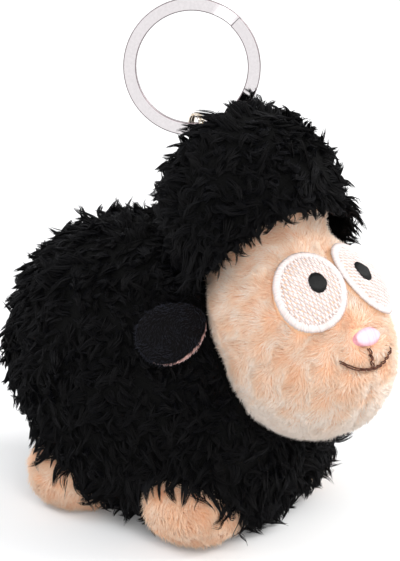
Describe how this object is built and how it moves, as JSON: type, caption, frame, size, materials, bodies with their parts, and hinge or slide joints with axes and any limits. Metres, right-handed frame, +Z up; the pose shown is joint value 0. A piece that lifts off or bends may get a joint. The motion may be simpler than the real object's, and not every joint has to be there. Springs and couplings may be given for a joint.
{
  "type": "plush sheep key ring charm",
  "caption": "Small stuffed sheep in shaggy black fleece with a plush face and feet, two flap ears, stitched eyes, and a split key ring that hangs from a ribbon loop.",
  "frame": {"origin": "middle of the box round the whole toy, on the floor under its feet", "axes": "+Z up; the sheep's body faces -Y; its left side is +X"},
  "size_m": [0.064, 0.0998, 0.1147],
  "materials": {
    "black_fleece": "shaggy curly pile",
    "tan_plush": "short brushed pile",
    "fibre_fill": "loose polyester fibre",
    "plastic_beans": "loose pellets",
    "black_velour": "short velour",
    "pink_velour": "short velour",
    "white_thread": "embroidery thread with a soft sheen",
    "black_thread": "embroidery thread with a soft sheen",
    "pink_thread": "embroidery thread with a soft sheen",
    "brown_thread": "embroidery thread with a soft sheen",
    "black_ribbon": "woven ribbon",
    "polished_steel": "polished nickel plate",
    "warm_steel": "drawn wire"
  },
  "bodies": {
    "root": {"body_cover": "black_fleece", "body_fibre_fill": "fibre_fill", "body_beans": "plastic_beans", "face_cover": "tan_plush", "wool_cap": "black_fleece", "head_fibre_fill": "fibre_fill", "eye_right": "white_thread", "pupil_right": "black_thread", "eye_left": "white_thread", "pupil_left": "black_thread", "nose_stitching": "pink_thread", "mouth_stitching": "brown_thread", "foot_front_right_cover": "tan_plush", "foot_front_right_fill": "fibre_fill", "foot_hind_right_cover": "tan_plush", "foot_hind_right_fill": "fibre_fill", "foot_front_left_cover": "tan_plush", "foot_front_left_fill": "fibre_fill", "foot_hind_left_cover": "tan_plush", "foot_hind_left_fill": "fibre_fill", "hanging_loop": "black_ribbon"},
    "ear_right": {"ear_right_outer": "black_velour", "ear_right_lining": "pink_velour"},
    "ear_left": {"ear_left_outer": "black_velour", "ear_left_lining": "pink_velour"},
    "link": {"link_ring": "warm_steel"},
    "split_ring": {"key_ring": "polished_steel"}
  },
  "joints": [
    {"name": "ear_right_flap", "type": "hinge", "parent": "root", "child": "ear_right", "pos_m": [-0.01914, -0.01136, 0.05412], "axis": [-0.0339, 0.5275, 0.8489], "range_deg": [0, 70]},
    {"name": "ear_left_flap", "type": "hinge", "parent": "root", "child": "ear_left", "pos_m": [0.01398, -0.02308, 0.05412], "axis": [-0.358, -0.3888, -0.8489], "range_deg": [0, 70]},
    {"name": "link_swing", "type": "hinge", "parent": "root", "child": "link", "pos_m": [0.00588, 0.0067, 0.08363], "axis": [-0.8021, 0.5972, 0], "range_deg": [-8, 40]},
    {"name": "ring_turn", "type": "hinge", "parent": "link", "child": "split_ring", "pos_m": [0.00682, 0.00867, 0.0997], "axis": [-0.8745, -0.4673, 0.1296], "continuous": true}
  ]
}
